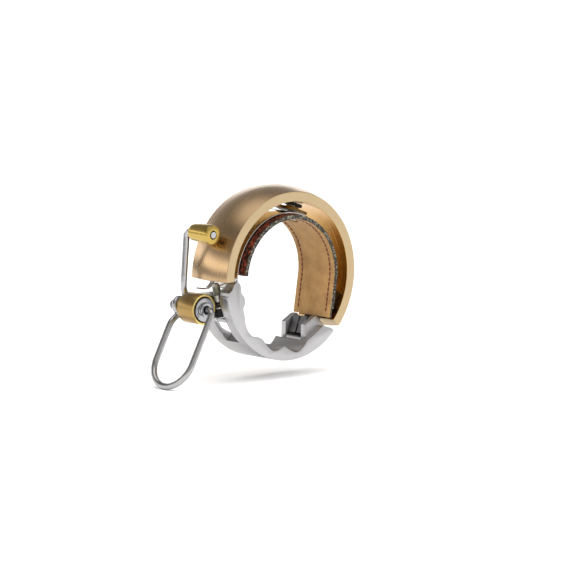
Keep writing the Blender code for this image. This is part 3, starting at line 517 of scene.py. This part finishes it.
def strap_place(radius, travel):
    """Place and outward direction at a length along the strap, from its left end."""
    on_arc = radius * math.radians(LEATHER_LEFT_DEG + STRAP_LEAN_DEG)
    if travel <= on_arc:
        degrees = LEATHER_LEFT_DEG - math.degrees(travel / radius)
        return polar(radius, degrees), polar(1, degrees)
    out = polar(1, -STRAP_LEAN_DEG)
    return polar(radius, -STRAP_LEAN_DEG) + leg_direction() * (travel - on_arc), out


def outwards(place):
    """Outward direction of the strap at a place on it."""
    if place.z < 0 < place.x:
        return polar(1, -STRAP_LEAN_DEG)
    return Vector((place.x, 0, place.z)).normalized()


def thicken(piece, thick):
    """Gives a sheet along the strap its thickness, growing outwards."""
    face = piece.data.polygons[len(piece.data.polygons) // 3]
    outward = face.normal.dot(outwards(face.center)) > 0
    modify(piece, "SOLIDIFY", thickness=thick * MM, offset=1.0 if outward else -1.0,
           use_even_offset=True)
    bpy.ops.object.mode_set(mode="EDIT")
    return end_edit(piece, 50)


def leather(name, radius, leg, thick, groove, finish_keys, finish):
    """A ply that follows the strap, pressed in along its stitch lines, with the access hole."""
    node = {"suede_lining": "leather_lining", "oiled_backing": "leather_backing"}[name]
    front, back = depths(node)
    rows = 44
    piece = drawn(name, strap_line(radius, LEATHER_LEFT_DEG, leg, front))
    for _ in range(rows):
        extrude(Vector((0, (back - front) / rows, 0)))
    end_edit(piece, 60)
    for vertex in piece.data.vertices:
        place = vertex.co / MM
        edge = min(place.y - front, back - place.y)
        seam = math.exp(-((edge - STITCH_INSET) / STITCH_DIP_WIDTH) ** 2)
        rim = math.exp(-(edge / 0.45) ** 2)
        vertex.co += outwards(place) * (seam + rim) * groove * MM
    thicken(piece, thick)
    out = polar(1, CROWN_DEG)
    deselect()
    bpy.ops.mesh.primitive_cylinder_add(vertices=48, radius=ACCESS_HOLE_RADIUS * MM, depth=6 * MM,
                                        location=out * 17 * MM,
                                        rotation=out.to_track_quat("Z", "Y").to_euler())
    tool = only(bpy.context.object)
    bpy.ops.object.transform_apply(location=True, rotation=True)
    modify(piece, "BOOLEAN", operation="DIFFERENCE", object=tool, solver="EXACT")
    bpy.data.objects.remove(tool, do_unlink=True)
    edge_round(piece, 0.12, 3, 50, 60)
    for key in finish_keys:
        piece.data.materials.append(finish[key])
    for face in piece.data.polygons:
        if abs(face.normal.y) > 0.6:
            face.material_index = 1
    slot = {"suede_lining": "lining_leather", "oiled_backing": "backing_leather"}[name]
    return place_piece(piece, "bell_body", slot, None, node)


def stitches(name, radius, leg, slot, side, finish):
    """Two rows of short thread stitches, each dipping into the leather at its ends."""
    front, back = depths("leather_lining")
    length = STITCH_PITCH * STITCH_SHARE
    deselect()
    bpy.ops.mesh.primitive_uv_sphere_add(segments=10, ring_count=8, radius=0.5 * MM,
                                         scale=(length, THREAD_WIDTH, THREAD_HEIGHT))
    first = only(bpy.context.object)
    bpy.ops.object.transform_apply(scale=True)
    for vertex in first.data.vertices:
        share = vertex.co.x / (length * 0.5 * MM)
        vertex.co.z -= 0.10 * MM * share * share
    copies = []
    total = radius * math.radians(LEATHER_LEFT_DEG + STRAP_LEAN_DEG) + leg
    count = int((total - 1.6) / STITCH_PITCH)        # the last stitch stays clear of the end
    draws = random.Random(7)
    for row in (front + STITCH_INSET, back - STITCH_INSET):
        for i in range(count):
            place, out = strap_place(radius, STITCH_ENDS + STITCH_PITCH * (i + 0.5))
            up = -out * side
            along = Vector((-out.z, 0, out.x))
            yaw = Matrix.Rotation(math.radians(draws.uniform(-6, 6)), 3, "Z")
            turn = Matrix((along, up.cross(along), up)).transposed() @ yaw
            copy = bpy.data.objects.new(name, first.data.copy())
            bpy.context.collection.objects.link(copy)
            shift = Matrix.Translation((place + Vector((0, row, 0))) * MM)
            copy.matrix_world = shift @ turn.to_4x4()
            copies.append(copy)
    bpy.data.objects.remove(first, do_unlink=True)
    deselect()
    for copy in copies:
        copy.select_set(True)
    bpy.context.view_layer.objects.active = copies[0]
    bpy.ops.object.join()
    piece = only(bpy.context.object)
    piece.name = piece.data.name = name
    bpy.ops.object.transform_apply(location=True, rotation=True, scale=True)
    bpy.ops.object.shade_smooth()
    return place_piece(piece, "bell_body", slot, finish["thread"])


def pick_edges(piece, test):
    """Selects in edit mode only the edges whose two ends pass the test."""
    bpy.ops.object.mode_set(mode="EDIT")
    bpy.ops.mesh.select_mode(type="EDGE")
    bpy.ops.mesh.select_all(action="DESELECT")
    bpy.ops.object.mode_set(mode="OBJECT")
    vertices = piece.data.vertices
    for edge in piece.data.edges:
        edge.select = all(test(vertices[i].co / MM) for i in edge.vertices)
    bpy.ops.object.mode_set(mode="EDIT")


def band(finish):
    """The polished band: one sheet with a tab below the bell and a flared finger behind it."""
    front, back = depths("mount_band")
    middle = BOLT_FOOT.y
    rows = [front, middle - TAB_HALF, middle + TAB_HALF, back - FINGER_WIDTH, back]
    line = [Vector((-BAND_INNER, front, -BAND_DROP)), Vector((-BAND_INNER, front, FINGER_TOP))]
    line += strap_line(BAND_INNER, BAND_ARC_LEFT_DEG, BAND_LEG, front, 120, 4)
    arc_left = polar(BAND_INNER, BAND_ARC_LEFT_DEG)
    piece = drawn("polished_band", line)
    for here, there in zip(rows, rows[1:]):
        extrude(Vector((0, there - here, 0)))
    end_edit(piece, 60)

    def at(value, target):
        return abs(value - target) < 0.01

    pick_edges(piece, lambda p: at(p.z, -BAND_DROP) and middle - TAB_HALF - 0.01 < p.y
               < middle + TAB_HALF + 0.01 and p.x < 0)
    extrude(Vector((0, 0, BAND_DROP + TAB_TAPER_DROP - BAND_TAB_DROP)))
    extrude(Vector((0, 0, -TAB_TAPER_DROP)))
    bpy.ops.transform.resize(value=(1, TAB_TAPER, 1), center_override=(0, middle * MM, 0))
    bpy.ops.object.mode_set(mode="OBJECT")
    pick_edges(piece, lambda p: p.z < FINGER_TOP + 0.01 and p.z > -BAND_DROP - 0.01 and p.x < 0
               and p.y > back - FINGER_WIDTH + 0.01)
    bpy.ops.mesh.delete(type="EDGE")
    bpy.ops.object.mode_set(mode="OBJECT")
    pick_edges(piece, lambda p: at(p.z, arc_left.z) and p.x < 0
               and p.y > back - FINGER_WIDTH - 0.01)
    centre = Vector((-BAND_INNER - FINGER_BEND, 0, FINGER_TOP))
    curl = [centre + point for point in arc(FINGER_BEND, 0, -84, 9)]
    curl.append(curl[-1] + Vector((-FINGER_REACH, 0, FINGER_RISE)))
    here = arc_left
    for there in curl:
        extrude(there - here)
        here = there
    end_edit(piece, 60)
    thicken(piece, BAND_THICK)
    edge_round(piece, EASE, 3, 40, 45)
    return place_piece(piece, "bell_body", "band_steel", finish["band"], "mount_band")


# ---- clamp --------------------------------------------------------------------------------------
def clamp(finish):
    """The cast clamp: the model's own shape, merged, with every edge eased."""
    deselect()
    piece = bpy.data.objects.new("cast_clamp", frame["nodes"]["lower_clamp"].data.copy())
    bpy.context.collection.objects.link(piece)
    only(piece)
    bpy.ops.object.mode_set(mode="EDIT")
    bpy.ops.mesh.select_all(action="SELECT")
    bpy.ops.mesh.remove_doubles(threshold=0.0005 * MM)
    bpy.ops.mesh.dissolve_limited(angle_limit=math.radians(0.6))
    bpy.ops.mesh.select_all(action="DESELECT")
    bpy.ops.object.mode_set(mode="OBJECT")
    edge_round(piece, EASE, 2, 28, 32)
    return place_piece(piece, "clamp", "clamp_aluminium", finish["clamp"], "lower_clamp")


def bolt(finish):
    """The clamp bolt: a threaded shank and a round head with a socket."""
    root = BOLT_RADIUS - THREAD_DEPTH
    section = [(0.0, BOLT_SEAT - 0.1), (BOLT_RADIUS - 0.2, BOLT_SEAT - 0.1)]
    turns = int((BOLT_TOP - BOLT_SEAT - 0.5) / THREAD_PITCH)
    for i in range(turns):
        section.append((root, BOLT_SEAT + THREAD_PITCH * i))
        section.append((BOLT_RADIUS, BOLT_SEAT + THREAD_PITCH * (i + 0.5)))
    section += [(root, BOLT_SEAT + THREAD_PITCH * turns), (BOLT_RADIUS - 0.5, BOLT_TOP),
                (0.0, BOLT_TOP)]
    shank = turned("bolt_shank", section, BOLT_FOOT, -BOLT_AXIS, 32, 25)
    place_piece(shank, "bolt", "dark_steel", finish["zinc"], "clamp_bolt")
    radius, length = BOLT_HEAD_RADIUS, BOLT_HEAD_LENGTH
    section = [(0.0, 0.0), (radius - 0.12, 0.0), (radius, 0.12), (radius, length - 0.5),
               (radius - 0.14, length - 0.2), (radius - 0.5, length),
               (SOCKET_RADIUS + 0.13, length), (SOCKET_RADIUS, length - 0.12),
               (SOCKET_RADIUS, 1.1), (0.0, 1.1)]
    cap = turned("bolt_head", section, BOLT_FOOT - BOLT_AXIS * BOLT_SEAT, BOLT_AXIS, 48, 30)
    place_piece(cap, "bolt", "dark_steel", finish["black"], "clamp_bolt")


# ---- pivot barrel and bush ----------------------------------------------------------------------
def barrel_and_bush(finish):
    """The satin barrel with bright cut ends, and the stepped bush in its mouth."""
    front, back = depths("pivot_barrel")
    length = back - front
    edge = 0.1
    section = [(BARREL_BORE, length - 2.0), (BARREL_BORE, edge), (BARREL_BORE + 0.03, 0.03),
               (BARREL_BORE + edge, 0), (BARREL_RADIUS - edge, 0), (BARREL_RADIUS - 0.03, 0.03),
               (BARREL_RADIUS, edge), (BARREL_RADIUS, length - edge),
               (BARREL_RADIUS - 0.03, length - 0.03), (BARREL_RADIUS - edge, length),
               (0.92, length), (0.92, length - 2.0)]
    barrel = turned("barrel_sleeve", section, PIVOT + Vector((0, front, 0)), (0, 1, 0), 96, 30)
    barrel.data.materials.append(finish["barrel"])
    barrel.data.materials.append(finish["lip"])
    for face in barrel.data.polygons:
        if abs(face.normal.y) > 0.6:
            face.material_index = 1
    place_piece(barrel, "clamp", "barrel_brass", None, "pivot_barrel")
    nose = depths("pivot_bush")[0]
    section = [(WIRE_HOLE, 5.0), (WIRE_HOLE, 0.3), (1.28, 0.08), (1.42, 0.0), (1.92, 0.0),
               (2.06, 0.05), (2.1, 0.18), (2.1, 0.72), (2.2, 0.8), (2.9, 0.8), (3.0, 0.86),
               (3.1, 0.86), (3.3, 0.88), (3.45, 1.0), (3.45, 1.7), (2.1, 1.7), (2.1, 5.0)]
    bush = turned("stepped_bush", section, PIVOT + Vector((0, nose, 0)), (0, 1, 0), 80, 30)
    place_piece(bush, "clamp", "bush_steel", finish["bush"], "pivot_bush")


# ---- lever --------------------------------------------------------------------------------------
def rounded(points, radius, steps=10):
    """A path through corners, each replaced by a short arc."""
    path = [points[0]]
    for before, corner, after in zip(points, points[1:], points[2:]):
        inward = (before - corner).normalized()
        outward = (after - corner).normalized()
        half = 0.5 * inward.angle(outward)
        setback = radius / math.tan(half)
        middle = corner + (inward + outward).normalized() * (radius / math.sin(half))
        first = (corner + inward * setback - middle).normalized()
        last = (corner + outward * setback - middle).normalized()
        path += [middle + first.slerp(last, i / steps) * radius for i in range(steps + 1)]
    return path + [points[-1]]


def smooth(points, steps=4):
    """A smooth line through the given points."""
    line = []
    for i in range(len(points) - 1):
        p0, p1, p2 = points[max(i - 1, 0)], points[i], points[i + 1]
        p3 = points[min(i + 2, len(points) - 1)]
        for step in range(steps):
            t = step / steps
            line.append(0.5 * (2 * p1 + (p2 - p0) * t + (2 * p0 - 5 * p1 + 4 * p2 - p3) * t * t
                               + (3 * p1 - p0 - 3 * p2 + p3) * t ** 3))
    return line + [points[-1]]


def wire_path():
    """Centre line of the lever, from its stub in the bush to the hammer's face."""
    hammer = polar(HAMMER_LINE, HAMMER_DEG)
    lean = math.radians(LOOP_LEAN_DEG)
    down = Vector((-math.sin(lean), 0, -math.cos(lean)))
    side = Vector((-down.z, 0, down.x))
    loop_radius = 0.5 * (LOOP_BACK - LOOP_FRONT)
    leg = LOOP_LENGTH - loop_radius
    path = rounded([behind(9.6, PIVOT), behind(LOOP_FRONT, PIVOT),
                    behind(LOOP_FRONT, PIVOT + down * leg)], BEND_RADIUS)
    for i in range(1, 32):
        angle = math.pi * i / 32
        depth = LOOP_FRONT + loop_radius * (1 - math.cos(angle))
        path.append(behind(depth, PIVOT + down * (leg + loop_radius * math.sin(angle))))
    up = (hammer - PIVOT).normalized()
    arm_side = Vector((up.z, 0, -up.x))
    leg_deg = math.degrees(math.atan2(side.z, side.x))
    arm_deg = math.degrees(math.atan2(arm_side.z, arm_side.x))
    entry = ((7.0, 0.0), (5.6, 0.05), (4.4, 0.22), (3.3, 0.52), (2.2, 0.82), (1.1, 0.96))
    eye = [behind(LOOP_BACK, PIVOT + down * leg), behind(LOOP_BACK, PIVOT + down * 9.0)]
    eye += [behind(LOOP_BACK, PIVOT + down * reach + side * COIL_RADIUS * share)
            for reach, share in entry]
    turns = 36
    for i in range(turns + 1):
        angle = leg_deg + (360 + arm_deg - leg_deg) * i / turns
        depth = LOOP_BACK + (ARM_DEPTH - LOOP_BACK) * i / turns
        eye.append(behind(depth, PIVOT + polar(COIL_RADIUS, angle)))
    eye += [behind(ARM_DEPTH, PIVOT + up * reach + arm_side * COIL_RADIUS * share)
            for reach, share in entry[::-1]]
    path += smooth(eye, 3)
    return path + rounded([behind(ARM_DEPTH, PIVOT + up * 9.0), behind(ARM_DEPTH, hammer),
                           behind(HAMMER_FRONT, hammer)], BEND_RADIUS)


def lever(finish):
    """The bent wire swept along its path, and the turned hammer on its end."""
    piece = drawn("bent_wire", wire_path())
    bpy.ops.mesh.remove_doubles(threshold=0.05 * MM)
    bpy.ops.object.mode_set(mode="OBJECT")
    only(piece)
    bpy.ops.object.convert(target="CURVE")
    curve = bpy.context.object.data
    curve.dimensions = "3D"
    curve.bevel_depth = WIRE_RADIUS * MM
    curve.bevel_resolution = 6
    curve.use_fill_caps = True
    bpy.ops.object.convert(target="MESH")
    piece = bpy.context.object
    bpy.ops.object.mode_set(mode="EDIT")
    end_edit(piece, 50)
    edge_round(piece, 0.08, 2, 60, 50)
    place_piece(piece, "lever", "lever_steel", finish["wire"], "lever_wire")

    r, length = HAMMER_RADIUS, HAMMER_LENGTH
    section = [(WIRE_HOLE, 7.5), (WIRE_HOLE, 0.12), (1.32, 0.0), (r - 0.5, 0.0), (r - 0.28, 0.06),
               (r - 0.12, 0.2), (r - 0.03, 0.5), (r, 1.4)]
    steps = 12
    for i in range(1, steps + 1):
        share = i / steps
        section.append((r - 0.42 * share ** 1.8, 1.4 + (length - 2.5) * share))
    section += [(r - 0.5, length - 0.8), (r - 0.66, length - 0.5), (r - 0.9, length - 0.22),
                (r - 1.2, length - 0.05), (r - 1.5, length), (WIRE_HOLE, length)]
    centre = behind(HAMMER_FRONT, polar(HAMMER_LINE, HAMMER_DEG))
    knocker = turned("turned_hammer", section, centre, (0, 1, 0), 80, 30)
    place_piece(knocker, "lever", "hammer_brass", finish["hammer"], "hammer")


# ---- stage --------------------------------------------------------------------------------------
def stage():
    """A plain pale floor under the thumb loop."""
    floor_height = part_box("lever_wire")[0][2] - FLOOR_DROP * MM
    deselect()
    bpy.ops.mesh.primitive_plane_add(size=FLOOR_SIZE, location=(0, 0, floor_height))
    floor = bpy.context.object
    floor.name = "studio_floor"
    material, tree, shader = new_material("white_sweep", Roughness=1.0, Specular_IOR_Level=0.0)
    shader.inputs["Base Color"].default_value = (0.9, 0.9, 0.9, 1)
    floor.data.materials.append(material)


def studio():
    """Bright walls low down, a dimmer room above them and one very soft light from overhead."""
    world = bpy.data.worlds.new("soft_studio")
    bpy.context.scene.world = world
    world.use_nodes = True
    tree = world.node_tree
    direction = add(tree, "ShaderNodeTexCoord").outputs["Generated"]
    parts = add(tree, "ShaderNodeSeparateXYZ", {0: direction}).outputs
    ramps = []
    for levels in (WALLS_BEHIND, WALLS_IN_FRONT):
        ramp = add(tree, "ShaderNodeValToRGB", {"Fac": parts["Z"]})
        elements = ramp.color_ramp.elements
        while len(elements) < len(levels):
            elements.new(0.5)
        for element, (position, level) in zip(elements, levels):
            element.position = position
            element.color = (level, level * WARMTH ** 0.5, level * WARMTH, 1)
        ramps.append(ramp.outputs["Color"])
    front = add(tree, "ShaderNodeMapRange", {"Value": parts["Y"], "From Min": 0.1,
                                             "From Max": -0.5}, interpolation_type="SMOOTHSTEP")
    both = add(tree, "ShaderNodeMix", {"Factor": front, "A": ramps[0], "B": ramps[1]},
               data_type="RGBA")
    add(tree, tree.nodes["Background"], {"Color": both, "Strength": 1.0})
    data = bpy.data.lights.new("soft_overhead", "SUN")
    data.energy = LAMP_STRENGTH
    data.angle = math.radians(LAMP_ANGLE_DEG)
    lamp = bpy.data.objects.new("soft_overhead", data)
    bpy.context.collection.objects.link(lamp)
    lamp.rotation_euler = LAMP_DIRECTION.to_track_quat("-Z", "Y").to_euler()
    lamp.visible_glossy = False


def camera():
    """A long lens from the front left, a little above the bell."""
    azimuth, elevation = math.radians(CAMERA_AZIMUTH_DEG), math.radians(CAMERA_ELEVATION_DEG)
    level = math.cos(elevation)
    back = Vector((math.sin(azimuth) * level, -math.cos(azimuth) * level, math.sin(elevation)))
    aim = CAMERA_AIM * MM
    data = bpy.data.cameras.new("long_lens")
    data.lens = LENS_PER_METRE * CAMERA_DISTANCE
    data.sensor_width = 36.0
    data.clip_start = 0.01
    view = bpy.data.objects.new("long_lens", data)
    bpy.context.collection.objects.link(view)
    view.location = aim + back * CAMERA_DISTANCE
    view.rotation_euler = (-back).to_track_quat("-Z", "Y").to_euler()
    bpy.context.scene.camera = view
    bpy.context.scene.view_settings.view_transform = "Standard"


# the finish of each model node that still shows
CARRIED = {
    "band_screw": "zinc", "bell_post": "bronze", "isolator_washer": "rubber",
    "hinge_tongue": "dark", "tongue_rivet_1": "zinc", "tongue_rivet_2": "zinc",
    "hinge_pin": "zinc", "bolt_washer": "zinc", "band_nut": "zinc", "nut_rivet": "zinc",
    "barrel_screw": "zinc", "pivot_pin": "bush", "torsion_spring": "spring",
}


def main():
    finish = make_finishes()
    camera()
    studio()
    stage()
    for node, key in CARRIED.items():
        for item in frame["nodes"][node].material_slots:
            item.material = finish[key]
    bell(finish)
    leather("suede_lining", LINING_INNER, LINING_LEG, LINING_THICK, 0.16, ("suede", "edge"), finish)
    backing = LINING_INNER + LINING_THICK
    leather("oiled_backing", backing, BACKING_LEG, BACKING_THICK, 0.0, ("leather", "edge"), finish)
    stitches("lining_stitches", LINING_INNER + 0.02, LINING_LEG, "lining_leather", 1.0, finish)
    stitches("backing_stitches", backing + BACKING_THICK - 0.04, BACKING_LEG, "backing_leather",
             -1.0, finish)
    band(finish)
    clamp(finish)
    bolt(finish)
    barrel_and_bush(finish)
    lever(finish)


main()
